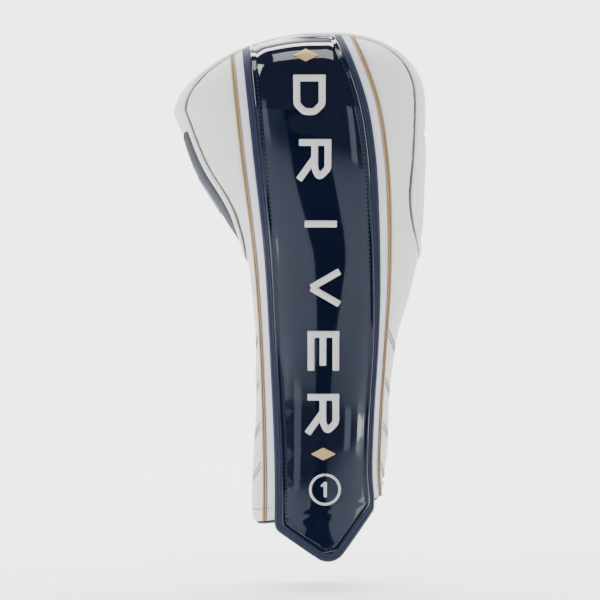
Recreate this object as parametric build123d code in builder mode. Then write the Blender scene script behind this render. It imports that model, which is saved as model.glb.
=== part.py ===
from build123d import *
import math
import os

# Head cover for a golf driver: a padded sock of laminated leather over the club head, a neck round the shaft with
# an elasticated back that stretches open, and a stiff pointed tongue below the mouth.
#
# Frame, in millimetres: +Z runs up the shaft into the head, -Y is the front with the gloss strip, +X is the side
# over the club face. The origin is the middle of the mouth. Every layer is a shell between two insets of one body.

# Widest part of the head, and how far the dome rises above it.
head_left = -92.0
head_right = 65.4
head_front = -62.0
head_back = 66.0
shoulder_z = 248.0
dome_height = 48.4
top_z = shoulder_z + dome_height

# Body shape up the neck and head: height, left, right, front, back, squareness (2 is an ellipse).
STATIONS = (
    (-46, -42.0, 37.0, -31.0, 31.0, 2.2),
    (8, -43.0, 38.0, -31.0, 31.0, 2.2),
    (35, -42.0, 41.0, -30.5, 30.5, 2.2),
    (70, -40.5, 42.3, -30.0, 30.0, 2.2),
    (108, -41.0, 47.5, -32.0, 33.0, 2.2),
    (138, -43.5, 55.5, -37.0, 39.0, 2.3),
    (160, -47.5, 61.0, -44.0, 47.0, 2.4),
    (180, -59.0, 63.5, -51.0, 55.0, 2.5),
    (212, -78.5, 65.0, -58.5, 62.5, 2.6),
    (shoulder_z, head_left, head_right, head_front, head_back, 2.7),
)
dome_powers = (1.85, 2.6, 3.6)  # how full the dome stays towards the left, the right, and the front and back
wall_levels = (-46, 8, 62, 108, 138, 162, 185, 212, shoulder_z)
dome_angles = (18, 36, 54, 70, 82)  # degrees up a quarter circle from the widest level
ring_points = 16

# Layers, as insets from the body shape. A negative inset stands proud of it.
skin_wall = 1.2
foam_wall = 2.6
lining_wall = 2.4
layer_gap = 0.2
seam_gap = 0.3
patent_proud = 1.5
binding_proud = 1.8
puff_height = 2.0
cord_proud = 1.4
piping_proud = 2.2
piping_width = 4.2

# The edges of the strip down the front, seen from the front: across, height, and the share of a distance along
# the skin that shows from the front.
strip_left = (
    (-30.5, -60, 1.0),
    (-29.5, 20, 0.95),
    (-32.8, 103, 0.82),
    (-36.3, 162, 0.9),
    (-42.7, 223, 1.0),
    (-50.0, top_z - 4.4, 1.0),
    (-52.0, top_z + 15.6, 1.0),
)
strip_right = (
    (34.5, -60, 0.66),
    (33.6, 2, 0.66),
    (32.0, 24, 0.66),
    (33.2, 60, 0.66),
    (35.8, 103, 0.68),
    (36.6, 140, 0.85),
    (35.0, 192, 1.0),
    (32.6, 223, 1.0),
    (27.0, top_z - 42.4, 1.0),
    (12.3, top_z - 2.4, 1.0),
    (3.5, top_z + 15.6, 1.0),
)
binding_width = 5.2
stripe_width = 4.9
cord_width = 3.1

# Seams between the front, the gusset, the back and the neck, seen from the side.
front_seam_y = -34.0
back_seam_y = 36.0
neck_seam_z = 160.0  # where the seam under the head crosses the middle of the side
neck_seam_slope = -0.15
neck_seam_radius = 45.0
gusset_split_z = 236.0
neck_back_y = 18.0

# The mouth, its hem and the tongue below it.
hem_slope = 0.2
hem_height = 2.6
tongue_corners = ((-30.0, -11.5), (6.8, -36.0), (34.0, 0.6))
tongue_radii = (5.0, 12.0, 5.0)
tongue_wall = 1.4
tongue_root_z = 60.0  # where the tongue's straight sides start, well above the hem

# Embroidery, elastic and label.
letter_height = 20.0  # across the strip
letter_width = 25.0  # down the strip
letter_stroke = 4.6
letter_pitch = 39.0
letter_corner = 0.3  # bends, waist, leg and middle arm of the capitals, as shares of their centre lines
letter_waist = 0.48
letter_leg = 0.45
letter_arm = 0.85
word = "DRIVER"
word_middle = (1.0, 158.0)
word_lean = 0.09  # how far the word drifts to the left for each millimetre above its middle
lozenge_size = (15.0, 8.5)
lozenge_levels = (top_z - 16.4, 35.5)
badge_middle = (2.0, 13.5)
badge_radius = 10.0
badge_ring = 1.8
numeral_height = 10.0
numeral_stroke = 2.4
emblem_middle = (-2.0, 197.0)
emblem_size = (13.0, 24.0)
elastic_height = 12.0
elastic_wall = 1.2
elastic_levels = (28.0, 62.0, 96.0)
label_size = (26.0, 34.0)
label_z = 34.0
label_wall = 0.5

reach = max(-head_left, head_right, -head_front, head_back) + 58.0  # further than any part, sideways
above = top_z + 33.6  # higher than any part of the body
core_drop = 5.0  # how far the space inside a layer runs out below it

os.makedirs("parts", exist_ok=True)


def station_at(height):
    """The sizes of the body's outline at a height, on smooth curves through the stations."""
    heights = [station[0] for station in STATIONS]
    low = min(max(sum(level <= height for level in heights) - 1, 0), len(heights) - 2)
    before, after = max(low - 1, 0), min(low + 2, len(heights) - 1)
    span = heights[low + 1] - heights[low]
    share = (height - heights[low]) / span
    sizes = []
    for column in range(1, 6):
        start, end = STATIONS[low][column], STATIONS[low + 1][column]
        rise_in = (end - STATIONS[before][column]) / (heights[low + 1] - heights[before]) * span
        rise_out = (STATIONS[after][column] - start) / (heights[after] - heights[low]) * span
        bend = start * (2 * share**3 - 3 * share**2 + 1) + end * (3 * share**2 - 2 * share**3)
        sizes.append(bend + rise_in * (share**3 - 2 * share**2 + share) + rise_out * (share**3 - share**2))
    return sizes


def outline(inset, height):
    """The points round the body's outline at a height, drawn in by inset."""
    left, right, front, back, power = station_at(min(height, shoulder_z))
    left, right, front, back = left + inset, right - inset, front + inset, back - inset
    if height > shoulder_z:
        share = (height - shoulder_z) / (dome_height - inset)
        to_left, to_right, to_depth = [(1 - share**p) ** (1 / p) for p in dome_powers]
        left, right, front, back = left * to_left, right * to_right, front * to_depth, back * to_depth
    points = []
    for number in range(ring_points):
        turn = 2 * math.pi * number / ring_points
        across, along = math.cos(turn), math.sin(turn)
        size = (abs(across) ** power + abs(along) ** power) ** (-1 / power)
        x = (left + right) / 2 + (right - left) / 2 * size * across
        y = (front + back) / 2 + (back - front) / 2 * size * along
        points.append((x, y))
    return points


def body_solid(inset, floor=0.0):
    """The whole body, drawn in by inset, with its lowest outline lowered by floor."""
    dome = dome_height - inset
    levels = [*wall_levels, *(shoulder_z + dome * math.sin(math.radians(angle)) for angle in dome_angles)]
    knots = [number / ring_points for number in range(ring_points + 1)]
    with BuildPart() as body:
        for number, level in enumerate(levels):
            with BuildSketch(Plane.XY.offset(level - (floor if number == 0 else 0))):
                with BuildLine():
                    add(Edge.make_spline(outline(inset, level), periodic=True, parameters=knots))
                make_face()
        loft(ruled=True)
    return body.part


def shell(outer, inner):
    """The layer between two insets."""
    outside, inside = body_solid(outer), body_solid(inner, floor=core_drop)
    with BuildPart() as layer:
        add(outside)
        add(inside, mode=Mode.SUBTRACT)
    return layer.part


def strip_edge(side, distance):
    """An edge of the strip, moved outward along the skin by a distance."""
    sign, knots = (-1, strip_left) if side == "left" else (1, strip_right)
    return [(x + sign * distance * share, z) for x, z, share in knots]


def front_prism(first, second):
    """The space in front of the middle between two curves seen from the front."""
    with BuildPart() as prism:
        with BuildSketch(Plane.XZ):
            with BuildLine():
                one = Spline(*first)
                other = Spline(*second)
                Line(one @ 0, other @ 0)
                Line(one @ 1, other @ 1)
            make_face()
        extrude(amount=reach)
    return prism.part


def strip_block(outward):
    """The strip from edge to edge, widened by a distance on both sides."""
    return front_prism(strip_edge("left", outward), strip_edge("right", outward))


def band_block(side, near, far):
    """A narrow band beside one edge of the strip, between two distances outward."""
    return front_prism(strip_edge(side, near), strip_edge(side, far))


def seam_block(shift, front):
    """Everything on one side of the seam round the front of the head and under it, seen from the side. shift moves
    the seam towards the front and down."""
    lean = math.hypot(1, neck_seam_slope)
    line_y = front_seam_y - shift
    top = (line_y, above)
    corner = (line_y, neck_seam_z + neck_seam_slope * line_y - shift * lean)
    back = (reach, neck_seam_z + neck_seam_slope * reach - shift * lean)
    rest = [back, (reach, -reach), (-reach, -reach), (-reach, above), top] if front else [back, (reach, above), top]
    with BuildPart() as block:
        with BuildSketch(Plane.YZ):
            with BuildLine():
                FilletPolyline(top, corner, back, radius=neck_seam_radius + shift)
                Polyline(*rest)
            make_face()
        extrude(amount=reach, both=True)
    return block.part


def slab(x=(-reach, reach), y=(-reach, reach), z=(-reach, above)):
    """A box between limits."""
    with BuildPart() as box:
        with Locations(((x[0] + x[1]) / 2, (y[0] + y[1]) / 2, (z[0] + z[1]) / 2)):
            Box(x[1] - x[0], y[1] - y[0], z[1] - z[0])
    return box.part


def hem_plane(drop=0.0):
    """The slanting plane of the mouth, lowered by drop."""
    return Plane(origin=(0, 0, -drop), x_dir=(1, 0, hem_slope), z_dir=(-hem_slope, 0, 1))


def tongue_block(inset=0.0):
    """The tongue's outline, seen from the front and drawn in by inset, as a block through the front wall."""
    left, tip, right = tongue_corners
    start, end = (left[0], tongue_root_z), (right[0], tongue_root_z)
    with BuildPart() as block:
        with BuildSketch(Plane.XZ):
            with BuildLine():
                FilletPolyline(start, left, tip, right, end, radius=list(tongue_radii))
                Line(end, start)
            make_face()
            if inset:
                offset(amount=-inset, kind=Kind.INTERSECTION)
        extrude(amount=reach)
    return block.part


def cut(layer, *blocks, less=(), top=None, bottom=None):
    """A piece of a layer: inside every block, outside each of less, above the plane top and below bottom."""
    with BuildPart() as piece:
        add(layer)
        for block in blocks:
            add(block, mode=Mode.INTERSECT)
        for block in less:
            add(block, mode=Mode.SUBTRACT)
        if top:
            split(bisect_by=top, keep=Keep.TOP)
        if bottom:
            split(bisect_by=bottom, keep=Keep.BOTTOM)
    return piece.part


def save(part, name):
    part.label = name
    export_step(part, f"parts/{name}.step")


# Layers and blocks that several pieces share.
foam_start = skin_wall + layer_gap
lining_start = foam_start + foam_wall + layer_gap
lining_end = lining_start + lining_wall
skin = shell(0, skin_wall)
foam = shell(foam_start, foam_start + foam_wall)
lining = shell(lining_start, lining_end)
patent_layer = shell(-patent_proud, -layer_gap)
binding_layer = shell(-binding_proud, -layer_gap)
stitch_layer = shell(-patent_proud - layer_gap - puff_height, -patent_proud - layer_gap)

half_gap = seam_gap / 2
piping_edge = piping_width / 2 + half_gap
cord_end = stripe_width + cord_width
front_block = seam_block(piping_edge, front=True)
head_block = seam_block(-piping_edge, front=False)
neck_front_block = slab(y=(-reach, neck_back_y - half_gap))
neck_back_block = slab(y=(neck_back_y + half_gap, reach))
whole_strip = strip_block(cord_end + half_gap)

# The front strip and its borders: gloss panel, bound edges, twill stripe and gold cord.
save(cut(patent_layer, strip_block(-binding_width - half_gap), front_block, top=hem_plane()), "patent_panel")
save(cut(skin, strip_block(stripe_width - half_gap), front_block, top=hem_plane()), "stripe_band")
cord_layer = shell(-cord_proud, skin_wall)
for side in ("left", "right"):
    edge_band = band_block(side, -binding_width + half_gap, 0)
    save(cut(binding_layer, edge_band, front_block, top=hem_plane()), f"patent_binding_{side}")
    cord_band = band_block(side, stripe_width + half_gap, cord_end - half_gap)
    save(cut(cord_layer, cord_band, front_block, top=hem_plane()), f"gold_cord_{side}")

# The white leather fronts, which run down round the sides of the neck, and the foam behind them and the strip.
for side, limits in (("left", (-reach, -half_gap)), ("right", (half_gap, reach))):
    half = slab(x=limits)
    for layer, name in ((skin, "front_panel"), (foam, "foam_front")):
        panel = cut(layer, front_block, neck_front_block, half, less=[whole_strip], top=hem_plane())
        save(panel, f"{name}_{side}")
save(cut(foam, strip_block(cord_end - half_gap), front_block, top=hem_plane()), "foam_strip")

# The gusset round the head, in three lengths, and the back, each with its foam.
gusset_y = (-reach, back_seam_y - piping_edge)
below_split = (-reach, gusset_split_z - half_gap)
head_pieces = {
    "gusset_crown": slab(x=(-reach, 0), y=gusset_y, z=below_split),
    "gusset_face": slab(x=(0, reach), y=gusset_y, z=below_split),
    "gusset_top": slab(y=gusset_y, z=(gusset_split_z + half_gap, above)),
    "back_panel": slab(y=(back_seam_y + piping_edge, reach)),
}
for name, block in head_pieces.items():
    save(cut(skin, head_block, block), name)
    save(cut(foam, head_block, block), f"foam_{name}")

# The two pipings in the head's seams.
piping_layer = shell(-piping_proud, skin_wall)
behind_front_edge = seam_block(piping_width / 2, front=False)
before_back_edge = seam_block(-piping_width / 2, front=True)
save(cut(piping_layer, behind_front_edge, before_back_edge), "piping_front")
back_seam_slab = slab(y=(back_seam_y - piping_width / 2, back_seam_y + piping_width / 2))
save(cut(piping_layer, head_block, back_seam_slab), "piping_back")

# The plush lining: the head's pocket, the front of the neck and the stretching back of the neck.
lining_neck_block = seam_block(half_gap, front=True)
lining_head_block = seam_block(-half_gap, front=False)
save(cut(lining, lining_head_block), "lining_head")
save(cut(lining, lining_neck_block, neck_front_block, top=hem_plane()), "lining_front")
save(cut(lining, front_block, neck_back_block, top=hem_plane()), "lining_neck_back")

# The stretching back of the neck: a rib knit over elastic bands.
save(cut(skin, front_block, neck_back_block, top=hem_plane()), "neck_back_knit")
elastic_layer = shell(foam_start, foam_start + elastic_wall)
for number, level in enumerate(elastic_levels, start=1):
    elastic_slab = slab(z=(level - elastic_height / 2, level + elastic_height / 2))
    save(cut(elastic_layer, neck_back_block, elastic_slab), f"neck_elastic_{number}")

# The bound edge of the mouth, in its fixed front and its stretching back.
hem_layer = shell(tongue_wall + layer_gap, lining_end)
for name, block in (("mouth_binding_front", neck_front_block), ("mouth_binding_back", neck_back_block)):
    save(cut(hem_layer, block, top=hem_plane(hem_height), bottom=hem_plane(layer_gap)), name)

# A blank woven label inside the back of the mouth.
label_layer = shell(lining_end + layer_gap, lining_end + layer_gap + label_wall)
with BuildPart() as inner_label:
    add(label_layer)
    with BuildSketch(Plane.XZ):
        with Locations((0, label_z)):
            Rectangle(*label_size)
    extrude(amount=-reach, mode=Mode.INTERSECT)
save(inner_label.part, "inner_label")

# The tongue: gloss face, bound border and backing, free below the mouth.
tongue_outer = tongue_block()
tongue_inner = tongue_block(binding_width + half_gap)
tongue_hole = tongue_block(binding_width - half_gap)
hinge_plane = hem_plane(seam_gap)
save(cut(patent_layer, tongue_inner, bottom=hinge_plane), "tongue_patent")
tongue_layer = shell(-binding_proud, tongue_wall)
save(cut(tongue_layer, tongue_outer, less=[tongue_hole], bottom=hinge_plane), "tongue_binding")
save(cut(shell(0, tongue_wall), tongue_inner, bottom=hinge_plane), "tongue_backing")


# Raised embroidery down the strip. The letters read downwards, so their tops point to +X.
def letter_lines(letter):
    """The centre lines of a block capital, as lists of (down the strip, across it) points."""
    down, across = letter_width - letter_stroke, letter_height - letter_stroke
    corner = across * letter_corner
    waist = across * letter_waist
    bowl_d = [(0, across), (down - corner, across), (down, across - corner), (down, corner), (down - corner, 0)]
    bowl_r = [(0, across), (down - corner, across), (down, across - corner), (down, waist + corner / 2)]
    lines = {
        "D": [[(0, 0), *bowl_d, (0, 0)], [(0, 0), (0, across)]],
        "R": [[(0, 0), *bowl_r, (down - corner, waist), (0, waist)], [(down * letter_leg, waist), (down, 0)]],
        "I": [[(down / 2, 0), (down / 2, across)]],
        "V": [[(0, across), (down / 2, 0), (down, across)]],
        "E": [[(down, across), (0, across), (0, 0), (down, 0)], [(0, waist), (down * letter_arm, waist)]],
    }
    return lines[letter]


def bar(start, end, width):
    """A straight bar with square ends that run half a width past its two points, added to the open sketch."""
    length = math.dist(start, end)
    middle = ((start[0] + end[0]) / 2, (start[1] + end[1]) / 2)
    angle = math.degrees(math.atan2(end[1] - start[1], end[0] - start[0]))
    with Locations(Location(middle, angle)):
        Rectangle(length + width, width)


with BuildPart() as puff_letters:
    add(stitch_layer)
    with BuildSketch(Plane.XZ):
        for place, letter in enumerate(word):
            rise = letter_pitch * ((len(word) - 1) / 2 - place)
            first_x = word_middle[0] - word_lean * max(rise, 0) - (letter_height - letter_stroke) / 2
            first_z = word_middle[1] + rise + (letter_width - letter_stroke) / 2
            for line in letter_lines(letter):
                points = [(first_x + across, first_z - down) for down, across in line]
                for start, end in zip(points, points[1:]):
                    bar(start, end, letter_stroke)
    extrude(amount=reach, mode=Mode.INTERSECT)
save(puff_letters.part, "puff_letters")

lozenge_wide, lozenge_high = lozenge_size
with BuildPart() as gold_lozenges:
    add(stitch_layer)
    with BuildSketch(Plane.XZ):
        for level in lozenge_levels:
            middle = word_middle[0] - word_lean * max(level - word_middle[1], 0)
            with BuildLine():
                Polyline(
                    (middle - lozenge_wide / 2, level),
                    (middle, level + lozenge_high / 2),
                    (middle + lozenge_wide / 2, level),
                    (middle, level - lozenge_high / 2),
                    close=True,
                )
            make_face()
    extrude(amount=reach, mode=Mode.INTERSECT)
save(gold_lozenges.part, "gold_lozenges")

with BuildPart() as ring_badge:
    add(stitch_layer)
    with BuildSketch(Plane.XZ):
        with Locations(badge_middle):
            Circle(badge_radius)
            Circle(badge_radius - badge_ring, mode=Mode.SUBTRACT)
        half_numeral = (numeral_height - numeral_stroke) / 2
        foot = (badge_middle[0], badge_middle[1] - half_numeral)
        head = (badge_middle[0], badge_middle[1] + half_numeral)
        bar(foot, head, numeral_stroke)
        bar(head, (head[0] - numeral_stroke, head[1] - numeral_stroke), numeral_stroke)
    extrude(amount=reach, mode=Mode.INTERSECT)
save(ring_badge.part, "ring_badge")

emblem_wide, emblem_high = emblem_size
emblem_layer = shell(-layer_gap - elastic_wall, -layer_gap)
with BuildPart() as side_emblem:
    add(emblem_layer)
    with BuildSketch(Plane.YZ):
        with BuildLine():
            y, z = emblem_middle
            Polyline(
                (y - emblem_wide / 2, z),
                (y, z + emblem_high / 2),
                (y + emblem_wide / 2, z),
                (y, z - emblem_high / 2),
                close=True,
            )
        make_face()
    extrude(amount=-reach, mode=Mode.INTERSECT)
save(side_emblem.part, "side_emblem")
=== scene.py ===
import math

import bpy
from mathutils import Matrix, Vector, noise


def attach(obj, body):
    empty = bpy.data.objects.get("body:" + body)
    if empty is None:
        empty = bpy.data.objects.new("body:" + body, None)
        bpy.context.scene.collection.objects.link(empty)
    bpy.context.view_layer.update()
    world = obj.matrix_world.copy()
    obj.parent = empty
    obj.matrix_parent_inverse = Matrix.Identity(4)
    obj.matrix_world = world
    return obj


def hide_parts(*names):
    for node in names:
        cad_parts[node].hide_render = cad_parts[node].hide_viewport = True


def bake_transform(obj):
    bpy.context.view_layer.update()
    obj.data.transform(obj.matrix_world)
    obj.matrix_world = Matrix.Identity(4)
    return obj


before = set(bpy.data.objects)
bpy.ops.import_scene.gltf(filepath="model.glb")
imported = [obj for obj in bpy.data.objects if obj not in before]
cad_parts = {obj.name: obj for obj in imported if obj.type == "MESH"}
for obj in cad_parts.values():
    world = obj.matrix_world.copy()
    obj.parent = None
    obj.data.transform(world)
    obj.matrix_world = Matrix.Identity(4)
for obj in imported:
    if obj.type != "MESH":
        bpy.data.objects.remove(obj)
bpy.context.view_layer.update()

MM = 0.001

# ---------------------------------------------------------------- the cover's shape, in millimetres
# Height, left, right, front, back and squareness of the body's outline, up the neck and head.
STATIONS = (
    (-46, -42.0, 37.0, -31.0, 31.0, 2.2),
    (8, -43.0, 38.0, -31.0, 31.0, 2.2),
    (35, -42.0, 41.0, -30.5, 30.5, 2.2),
    (70, -40.5, 42.3, -30.0, 30.0, 2.2),
    (108, -41.0, 47.5, -32.0, 33.0, 2.2),
    (138, -43.5, 55.5, -37.0, 39.0, 2.3),
    (160, -47.5, 61.0, -44.0, 47.0, 2.4),
    (180, -59.0, 63.5, -51.0, 55.0, 2.5),
    (212, -78.5, 65.0, -58.5, 62.5, 2.6),
    (248, -92.0, 65.4, -62.0, 66.0, 2.7),
)
TOP = 296.4
DOME_POWERS = (1.85, 2.6, 3.6)
SHOULDER = STATIONS[-1][0]

# Edges of the front strip: across, height, and how much of a distance along the skin shows from the front.
STRIP_LEFT = (
    (-30.5, -60, 1.0),
    (-29.5, 20, 0.95),
    (-32.8, 103, 0.82),
    (-36.3, 162, 0.9),
    (-42.7, 223, 1.0),
    (-50.0, 292, 1.0),
    (-52.0, 312, 1.0),
)
STRIP_RIGHT = (
    (34.5, -60, 0.66),
    (33.6, 2, 0.66),
    (32.0, 24, 0.66),
    (33.2, 60, 0.66),
    (35.8, 103, 0.68),
    (36.6, 140, 0.85),
    (35.0, 192, 1.0),
    (32.6, 223, 1.0),
    (27.0, 254, 1.0),
    (12.3, 294, 1.0),
    (3.5, 312, 1.0),
)
BINDING = 5.2
STRIPE = 4.9
CORD = 3.1
FRONT_SEAM = -34.0
BACK_SEAM = 36.0
NECK_SEAM_Z = 160.0
NECK_SEAM_SLOPE = -0.15
NECK_SEAM_RADIUS = 45.0
NECK_SIDE = 18.0
SPLIT_Z = 236.0
HEM_SLOPE = 0.2
PIPING = 2.1


def smooth(share):
    share = min(max(share, 0.0), 1.0)
    return share * share * (3 - 2 * share)


def hermite(rows, height, columns):
    """Values at a height on smooth curves through rows that start with their height."""
    heights = [row[0] for row in rows]
    low = min(max(sum(level <= height for level in heights) - 1, 0), len(rows) - 2)
    before, after = max(low - 1, 0), min(low + 2, len(rows) - 1)
    span = heights[low + 1] - heights[low]
    t = (height - heights[low]) / span
    values = []
    for column in columns:
        start, end = rows[low][column], rows[low + 1][column]
        rise_in = (end - rows[before][column]) / (heights[low + 1] - heights[before]) * span
        rise_out = (rows[after][column] - start) / (heights[after] - heights[low]) * span
        bend = start * (2 * t**3 - 3 * t**2 + 1) + end * (3 * t**2 - 2 * t**3)
        values.append(bend + rise_in * (t**3 - 2 * t**2 + t) + rise_out * (t**3 - t**2))
    return values


def section(height, inset=0.0):
    """Middle and half sizes of the outline at a height, and its squareness."""
    left, right, front, back, power = hermite(STATIONS, min(height, SHOULDER), range(1, 6))
    left, right, front, back = left + inset, right - inset, front + inset, back - inset
    if height > SHOULDER:
        share = min((height - SHOULDER) / (TOP - inset - SHOULDER), 0.99999)
        to_left, to_right, to_depth = [(1 - share**p) ** (1 / p) for p in DOME_POWERS]
        left, right, front, back = left * to_left, right * to_right, front * to_depth, back * to_depth
    return (left + right) / 2, (front + back) / 2, (right - left) / 2, (back - front) / 2, power


def far_share(value, power):
    """How far out a superellipse lies on one axis when value is its share on the other."""
    return max(1 - min(abs(value), 1.0) ** power, 0.0) ** (1 / power)


def on_front(x, z, inset=0.0):
    """The point of the front wall behind a place seen from the front."""
    mid_x, mid_y, half_x, half_y, power = section(z, inset)
    share = max(min((x - mid_x) / half_x, 0.9995), -0.9995)
    return Vector((mid_x + half_x * share, mid_y - half_y * far_share(share, power), z))


def on_side(side, y, z, inset=0.0):
    """The point of the left (-1) or right (+1) wall at a place seen from the side."""
    mid_x, mid_y, half_x, half_y, power = section(z, inset)
    share = max(min((y - mid_y) / half_y, 0.9995), -0.9995)
    return Vector((mid_x + side * half_x * far_share(share, power), mid_y + half_y * share, z))


def on_ring(turn, z, inset=0.0):
    """The point of the wall at a direction round the middle."""
    mid_x, mid_y, half_x, half_y, power = section(z, inset)
    across, along = math.cos(turn), math.sin(turn)
    size = (abs(across) ** power + abs(along) ** power) ** (-1 / power)
    return Vector((mid_x + half_x * size * across, mid_y + half_y * size * along, z))


def turn_at(x=None, y=None, z=0.0, front=True, side=1):
    """The direction round the middle of a place on the wall, given across (x) or from the side (y)."""
    mid_x, mid_y, half_x, half_y, power = section(z)
    if x is not None:
        share = max(min((x - mid_x) / half_x, 0.9995), -0.9995)
        other = far_share(share, power) * (-1 if front else 1)
        return math.atan2(other, share)
    share = max(min((y - mid_y) / half_y, 0.9995), -0.9995)
    return math.atan2(share, far_share(share, power) * side)


def strip_edge(side, z, outward=0.0):
    """Where an edge of the strip is at a height, moved outward along the skin."""
    rows = [(row[1], row[0], row[2]) for row in (STRIP_LEFT if side < 0 else STRIP_RIGHT)]
    x, share = hermite(rows, z, (1, 2))
    return x + side * outward * share


def hem_z(x, t=0.0):
    """The height of a row that lies level high up and along the slanting hem near the mouth."""
    return t + HEM_SLOPE * x * (1 - smooth((t - 5) / 60))


def seam_side(z):
    """How far back the seam under the head is at a height, seen from the side."""
    lean = math.hypot(1, NECK_SEAM_SLOPE)
    middle_y = FRONT_SEAM + NECK_SEAM_RADIUS
    middle_z = NECK_SEAM_Z + NECK_SEAM_SLOPE * middle_y + NECK_SEAM_RADIUS * lean
    if z >= middle_z:
        return FRONT_SEAM
    low_y = middle_y - NECK_SEAM_RADIUS * 0.148
    low_z = NECK_SEAM_Z + NECK_SEAM_SLOPE * low_y
    if z <= low_z:
        return low_y + (low_z - z) / -NECK_SEAM_SLOPE
    return middle_y - math.sqrt(max(NECK_SEAM_RADIUS**2 - (z - middle_z) ** 2, 0.0))


def seam_low(y):
    """The height of the seam under the head at a place along its depth."""
    lean = math.hypot(1, NECK_SEAM_SLOPE)
    middle_y = FRONT_SEAM + NECK_SEAM_RADIUS
    middle_z = NECK_SEAM_Z + NECK_SEAM_SLOPE * middle_y + NECK_SEAM_RADIUS * lean
    if y > middle_y - NECK_SEAM_RADIUS * 0.148:
        return NECK_SEAM_Z + NECK_SEAM_SLOPE * y
    return middle_z - math.sqrt(max(NECK_SEAM_RADIUS**2 - (y - middle_y) ** 2, 0.0))


def spread(start, end, count):
    return [start + (end - start) * i / (count - 1) for i in range(count)]


# ---------------------------------------------------------------- meshes
def mesh_piece(name, points, faces, material):
    """A mesh object from points in millimetres."""
    mesh = bpy.data.meshes.new(name)
    mesh.from_pydata([tuple(p * MM) for p in points], [], faces)
    mesh.validate()
    mesh.materials.append(material)
    mesh.polygons.foreach_set("use_smooth", [True] * len(mesh.polygons))
    piece = bpy.data.objects.new(name, mesh)
    bpy.context.scene.collection.objects.link(piece)
    return piece


def grid_faces(rows, columns, start=0, round_rows=False, round_columns=False):
    faces = []
    for i in range(rows - (0 if round_rows else 1)):
        for j in range(columns - (0 if round_columns else 1)):
            a, b = i * columns + j, i * columns + (j + 1) % columns
            c, d = ((i + 1) % rows) * columns + (j + 1) % columns, ((i + 1) % rows) * columns + j
            faces.append((start + a, start + b, start + c, start + d))
    return faces


def thick_grid(name, outer, inner, material, round_columns=False):
    """A closed sheet between an outer and an inner grid of points, as lists of rows."""
    rows, columns = len(outer), len(outer[0])
    points = [p for row in outer for p in row] + [p for row in inner for p in row]
    count = rows * columns
    faces = grid_faces(rows, columns, round_columns=round_columns)
    faces += [tuple(reversed(f)) for f in grid_faces(rows, columns, count, round_columns=round_columns)]
    border = []
    if round_columns:
        loops = [[j for j in range(columns)], [(rows - 1) * columns + j for j in reversed(range(columns))]]
    else:
        loop = [j for j in range(columns)]
        loop += [i * columns + columns - 1 for i in range(1, rows)]
        loop += [(rows - 1) * columns + j for j in reversed(range(columns - 1))]
        loop += [i * columns for i in reversed(range(1, rows - 1))]
        loops = [loop]
    for loop in loops:
        for a, b in zip(loop, loop[1:] + loop[:1]):
            border.append((b, a, a + count, b + count))
    return mesh_piece(name, points, faces + border, material)


SLACK = 0.9  # how far the leather waves over the foam
PUCKER = 0.55  # how far it puckers beside a seam


def padded_grid(name, place, rows, columns, material, puff=0.8, sink=0.7, wall=1.6, fall=4.5, extra=None):
    """A closed padded panel. place(i, j, inset) gives a point for shares i up the rows and j across, and the panel
    crowns by puff in the middle and turns in by sink at its edges."""
    base = [[place(i / (rows - 1), j / (columns - 1), 0.0) for j in range(columns)] for i in range(rows)]
    outer, inner = [], []
    for i, row in enumerate(base):
        across = [0.0]
        for a, b in zip(row, row[1:]):
            across.append(across[-1] + (b - a).length)
        outer_row, inner_row = [], []
        for j in range(columns):
            along_low = (row[j] - base[0][j]).length
            along_high = (row[j] - base[-1][j]).length
            edge = min(across[j], across[-1] - across[j], along_low, along_high)
            lift = puff * (1 - math.exp(-edge / fall)) - sink * math.exp(-edge / 0.9)
            lift += SLACK * noise.noise(row[j] * 0.03) * (1 - math.exp(-edge / 8))
            lift += PUCKER * noise.noise(row[j] * 0.28) * math.exp(-((edge - 2.5) / 2.5) ** 2)
            if extra:
                lift += extra(row[j], edge)
            outer_row.append(place(i / (rows - 1), j / (columns - 1), -lift))
            inner_row.append(place(i / (rows - 1), j / (columns - 1), wall))
        outer.append(outer_row)
        inner.append(inner_row)
    return thick_grid(name, outer, inner, material)


def frames_along(path, closed=False):
    """The tangent at each point of a path."""
    count = len(path)
    tangents = []
    for i in range(count):
        before = path[i - 1] if closed or i else path[i]
        after = path[(i + 1) % count] if closed or i < count - 1 else path[i]
        tangents.append((after - before).normalized())
    return tangents


def welt(name, path, normals, radius, material, closed=False, sides=12):
    """A round cord laid along a path."""
    points = []
    tangents = frames_along(path, closed)
    for point, tangent, normal in zip(path, tangents, normals):
        side = tangent.cross(normal).normalized()
        up = side.cross(tangent).normalized()
        for k in range(sides):
            turn = 2 * math.pi * k / sides
            points.append(point + side * math.cos(turn) * radius + up * math.sin(turn) * radius)
    faces = grid_faces(len(path), sides, round_rows=closed, round_columns=True)
    if not closed:
        faces.append(tuple(reversed(range(sides))))
        faces.append(tuple(range((len(path) - 1) * sides, len(path) * sides)))
    return mesh_piece(name, points, faces, material)


def resample(path, step, closed=False):
    """The same path with points an even step apart."""
    line = path + [path[0]] if closed else path
    lengths = [0.0]
    for a, b in zip(line, line[1:]):
        lengths.append(lengths[-1] + (b - a).length)
    count = max(int(lengths[-1] / step), 2)
    places, index = [], 0
    for k in range(count + (0 if closed else 1)):
        goal = lengths[-1] * k / count
        while index < len(lengths) - 2 and lengths[index + 1] < goal:
            index += 1
        span = max(lengths[index + 1] - lengths[index], 1e-9)
        places.append(line[index].lerp(line[index + 1], (goal - lengths[index]) / span))
    return places


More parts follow.
